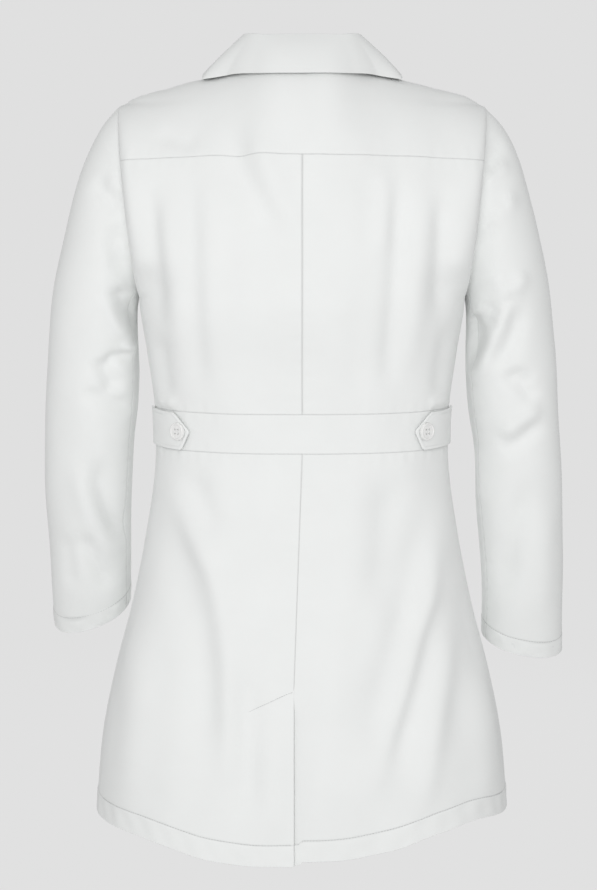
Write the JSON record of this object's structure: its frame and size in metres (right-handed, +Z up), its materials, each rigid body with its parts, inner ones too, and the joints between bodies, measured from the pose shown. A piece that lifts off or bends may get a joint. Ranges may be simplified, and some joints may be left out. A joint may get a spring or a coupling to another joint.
{
  "type": "lab coat",
  "caption": "Long-sleeved thigh-length lab coat with turned-down collar, back yoke, inset belt with buttoned tabs and a back vent, hanging as worn.",
  "frame": {"origin": "centre of the neck at the level of the back neck seam, where a hanger or a neck carries the coat", "axes": "+Z up, the front faces -Y, the back faces +Y, the wearer's left is +X"},
  "size_m": [0.626, 0.3163, 0.893],
  "materials": {
    "cloth": "white polyester-cotton twill, matt",
    "facing": "the same twill on its inner side, matt",
    "button": "polished white, faintly mottled",
    "thread": "white sewing thread"
  },
  "bodies": {
    "coat": {"back_yoke": "cloth", "back_upper_left": "cloth", "back_upper_right": "cloth", "back_belt": "cloth", "belt_lining": "facing", "back_lower_left": "cloth", "back_lower_right": "cloth", "vent_underlap": "facing", "back_neck_facing": "facing", "hanger_loop": "facing", "front_side_left": "cloth", "front_side_right": "cloth", "front_left": "cloth", "front_right": "cloth", "front_facing_left": "facing", "front_facing_right": "facing", "lapel_left": "cloth", "lapel_right": "cloth", "collar_stand": "cloth", "collar_fall": "cloth", "collar_lining": "facing", "chest_pocket": "cloth", "pocket_left": "cloth", "pocket_right": "cloth", "tab_button_left": "button", "tab_button_right": "button", "hem_back_left": "facing", "hem_back_right": "facing", "hem_front_left": "facing", "hem_front_right": "facing"},
    "front_edge_right_flap": {"front_edge_right": "cloth", "buttonhole_band": "facing"},
    "front_edge_left_flap": {"front_edge_left": "cloth", "button_band": "facing", "front_buttons": "button", "button_threads": "thread"},
    "sleeve_left": {"top_sleeve_left": "cloth", "under_sleeve_left": "cloth", "sleeve_hem_left": "facing"},
    "sleeve_right": {"top_sleeve_right": "cloth", "under_sleeve_right": "cloth", "sleeve_hem_right": "facing"},
    "belt_tab_left": {"tab_left": "cloth", "tab_lining_left": "facing"},
    "belt_tab_right": {"tab_right": "cloth", "tab_lining_right": "facing"},
    "vent_flap": {"vent_flap": "cloth"}
  },
  "joints": [
    {"name": "front_right_open", "type": "hinge", "parent": "coat", "child": "front_edge_right_flap", "pos_m": [-0.022, -0.1376, -0.285], "axis": [-0.1136, -0.021, -0.9933], "range_deg": [0, 110], "deforming": ["front_edge_right", "buttonhole_band"]},
    {"name": "front_left_open", "type": "hinge", "parent": "coat", "child": "front_edge_left_flap", "pos_m": [0.022, -0.1342, -0.285], "axis": [-0.1136, 0.0207, 0.9933], "range_deg": [0, 88]},
    {"name": "sleeve_left_raise", "type": "hinge", "parent": "coat", "child": "sleeve_left", "pos_m": [0.2062, 0, -0.0335], "axis": [0, -1, 0], "range_deg": [0, 60]},
    {"name": "sleeve_right_raise", "type": "hinge", "parent": "coat", "child": "sleeve_right", "pos_m": [-0.2062, 0, -0.0335], "axis": [0, 1, 0], "range_deg": [0, 60]},
    {"name": "tab_left_swing", "type": "hinge", "parent": "coat", "child": "belt_tab_left", "pos_m": [0.1698, 0.0329, -0.3925], "axis": [0, 0, -1], "range_deg": [0, 90], "stiffness_Nm_per_rad": 0.002, "deforming": ["tab_left", "tab_lining_left"]},
    {"name": "tab_right_swing", "type": "hinge", "parent": "coat", "child": "belt_tab_right", "pos_m": [-0.1698, 0.0329, -0.3925], "axis": [0, 0, 1], "range_deg": [0, 90], "stiffness_Nm_per_rad": 0.002, "deforming": ["tab_right", "tab_lining_right"]},
    {"name": "vent_flap_open", "type": "hinge", "parent": "coat", "child": "vent_flap", "pos_m": [0.009, 0.1472, -0.668], "axis": [0.3302, 0.0602, -0.942], "range_deg": [0, 100]}
  ],
  "couplings": [
    {"joint": "front_left_open", "follows": "front_right_open", "ratio": 0.8}
  ]
}
